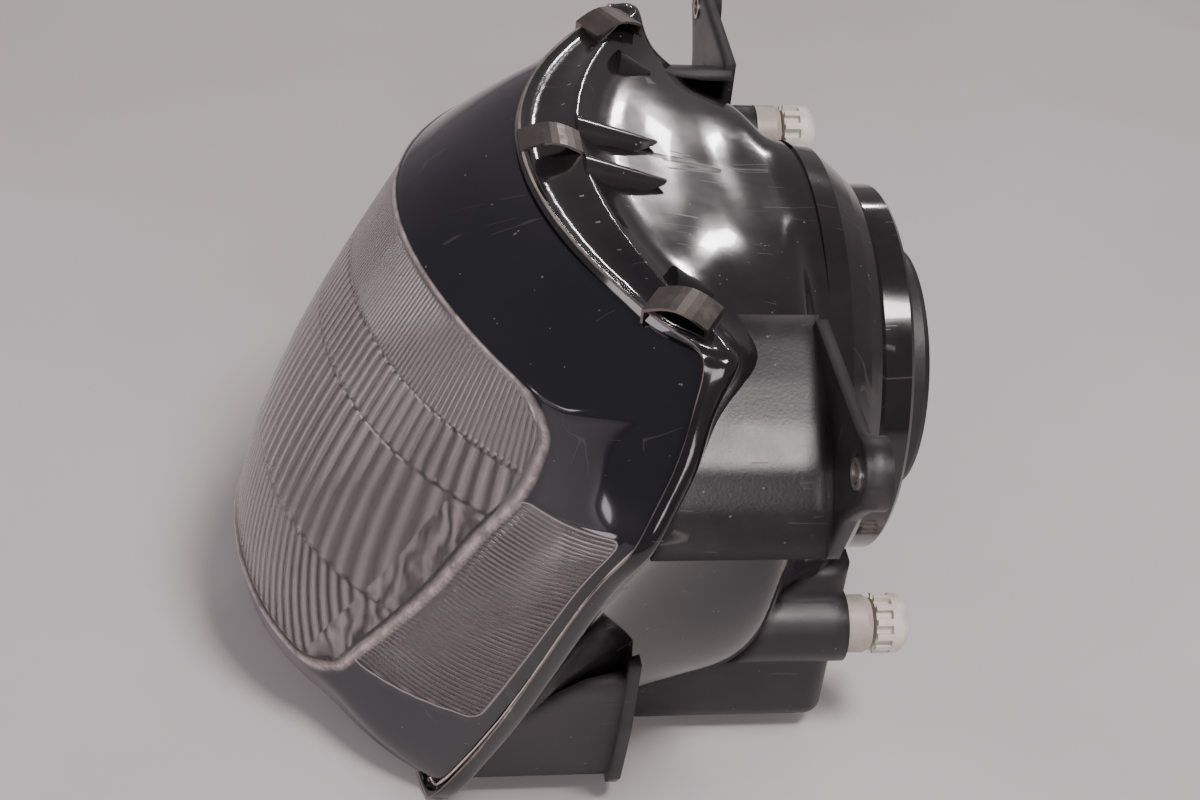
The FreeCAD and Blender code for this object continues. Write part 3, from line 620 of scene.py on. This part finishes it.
dusty_edge = black_plastic("dusty_edge", (0.05, 0.043, 0.04), 0.38, dust=5.0, scuff=2.0, tint=(0.62, 0.52, 0.47))
glass_edge = steel("glass_edge", (0.80, 0.68, 0.62), 0.22, 0.5, 0.6)
bead("lens_edge_line", rim_loop(-0.4, -0.3), 0.6, glass_edge)
bead("channel_lip_line", rim_loop(4.0, -2.7, 3.2, -0.8), 0.5, dusty_edge)

RIB_STEPS = 6                 # stretches along one rib
RIB_ZONE = (16, 84)           # ribs stand between the centre clip and the side clips, |x| in mm
RIB_HALF_THICK, RIB_DEPTH, RIB_SAG, RIB_CROWN = 0.55, 3.4, 1.6, 0.3


def channel_ribs():
    """Thin cross ribs that bridge the open channel behind the top rim."""
    ribs = piece("channel_ribs", dusty_edge)
    front_line, back_line = rim_loop(1.0, 1.4), rim_loop(1.0, 1.4, 1.6, 14.5)
    verts, faces = [], []
    section = 6
    for k in range(15):
        a, b = front_line[k], back_line[k]
        if not RIB_ZONE[0] * MM <= abs(a.x) <= RIB_ZONE[1] * MM:
            continue
        along = (front_line[min(k + 1, 14)] - front_line[max(k - 1, 0)]).normalized() * RIB_HALF_THICK * MM
        start = len(verts)
        for step in range(RIB_STEPS + 1):
            f = step / RIB_STEPS
            spot = a.lerp(b, f)
            top = (0.2 - RIB_SAG * math.sin(math.pi * f)) * MM
            foot, shoulder = top - RIB_DEPTH * MM, top - RIB_CROWN * MM
            for side, rise in ((-1, foot), (-1, shoulder), (-0.5, top), (0.5, top), (1, shoulder), (1, foot)):
                verts.append(spot + along * side + Vector((0, 0, rise)))
        for step in range(RIB_STEPS):
            for side in range(section):
                p, n = start + step * section, (side + 1) % section
                faces.append((p + side, p + n, p + section + n, p + section + side))
        faces.append(tuple(start + side for side in range(section)))
        faces.append(tuple(start + RIB_STEPS * section + side for side in reversed(range(section))))
    ribs.data.from_pydata(verts, [], faces)


channel_ribs()

# ---------------------------------------------------------------- CAD nodes keep their shape and get looks
gloss = black_plastic("housing_gloss", (0.005, 0.005, 0.006), 0.09, dust=0.25, scuff=0.4, coat=0.4)
satin = black_plastic("bracket_satin", (0.012, 0.011, 0.013), 0.33, dust=0.55, grain=0.4, scuff=0.8,
                      soft_edge=0.007)
cream = nylon("knob_nylon", (0.80, 0.75, 0.68))
beige = nylon("hub_nylon", (0.50, 0.44, 0.40), (0.22, 0.18, 0.15))
looks = {
    gloss: ("housing_bowl", "housing_stiffeners"),
    satin: ("left_arm", "right_arm", "left_lower_bracket", "right_lower_bracket", "adjuster_tower",
            "far_adjuster_boss"),
    rubber("cap_rubber"): ("dust_cap", "lens_seal"),
    steel("clip_steel", (0.24, 0.215, 0.20), 0.34, 0.35): ("spring_clips",),
    steel("sleeve_steel", (0.62, 0.58, 0.55), 0.3, 0.2): ("lug_sleeves", "vertical_screw", "horizontal_screw",
                                                          "pivot_stud", "bulb_retainer", "retainer_bracket",
                                                          "bulb_flange", "bulb_shade", "bulb_filaments"),
    cream: ("vertical_knob", "horizontal_knob", "vertical_nut", "horizontal_nut", "pivot_socket"),
    beige: ("vertical_hub", "horizontal_hub"),
    mirror("dish_mirror"): ("reflector",),
    clear_glass("bulb_clear"): ("bulb_glass",),
    black_plastic("plug_plastic", (0.03, 0.03, 0.03), 0.5, dust=0.2): ("bulb_plug",),
    steel("terminal_brass", (0.72, 0.58, 0.30), 0.3, 0.1): ("bulb_terminals",),
}
for mat, names in looks.items():
    for name in names:
        node = NODE[name]
        node.data.materials.clear()
        node.data.materials.append(mat)

# ---------------------------------------------------------------- stage, light, camera
low = CAD_BOX[0][2]
floor_mesh = bpy.data.meshes.new("floor")
floor_mesh.from_pydata([(-3, -3, low), (3, -3, low), (3, 3, low), (-3, 3, low)], [], [(0, 1, 2, 3)])
floor = bpy.data.objects.new("floor", floor_mesh)
bpy.context.scene.collection.objects.link(floor)
net = Net("floor_cloth")
net.link(net.ramp(net.noise(6.0, 4.0), [(0.3, (0.62, 0.58, 0.59)), (0.8, (0.70, 0.66, 0.67))]),
         net.bsdf.inputs["Base Color"])
net.bsdf.inputs["Roughness"].default_value = 0.9
floor.data.materials.append(net.mat)


def area(name, spot, target, size, power, colour=(1, 1, 1), tall=None):
    light = bpy.data.lights.new(name, "AREA")
    light.shape = "RECTANGLE"
    light.size = size
    light.size_y = tall or size
    light.energy = power
    light.color = colour
    obj = bpy.data.objects.new(name, light)
    obj.location = spot
    obj.rotation_euler = (Vector(target) - Vector(spot)).to_track_quat("-Z", "Y").to_euler()
    bpy.context.scene.collection.objects.link(obj)
    return obj


area("key", (0.50, 0.30, 1.22), (0.08, 0.0, -0.03), 0.40, 17, (1.0, 0.93, 0.93), 0.30)
area("dome_box_far", (-1.31, 0.43, 0.62), (-0.02, -0.03, 0.01), 0.07, 0.9, (1.0, 0.95, 0.95), 0.05)
area("dome_box_near", (-1.15, 0.57, 0.70), (0.05, -0.03, 0.01), 0.06, 0.9, (1.0, 0.95, 0.95), 0.06)
area("camera_side", (1.75, -0.15, 0.95), (0, -0.04, -0.08), 0.8, 11, (1.0, 0.93, 0.94), 0.6)
area("lens_soft", (0.2, -1.7, 0.15), (0, -0.1, -0.1), 0.8, 7, (1.0, 0.92, 0.95), 0.5)
world = bpy.data.worlds.new("studio")
bpy.context.scene.world = world
world.use_nodes = True
world.node_tree.nodes["Background"].inputs[0].default_value = (0.82, 0.74, 0.77, 1.0)
world.node_tree.nodes["Background"].inputs[1].default_value = 0.30

camera_data = bpy.data.cameras.new("camera")
camera_data.sensor_width = 36.0
camera_data.lens = 57.0
camera = bpy.data.objects.new("camera", camera_data)
bpy.context.scene.collection.objects.link(camera)
right = Vector((0.1130, 0.9898, 0.0870)).normalized()
look = Vector((-0.7842, 0.1426, -0.6039)).normalized()
up = right.cross(look).normalized()
camera.matrix_world = Matrix.Translation((0.5536, -0.1501, 0.3382)) @ Matrix(
    (right, up, -look)).transposed().to_4x4()
bpy.context.scene.camera = camera
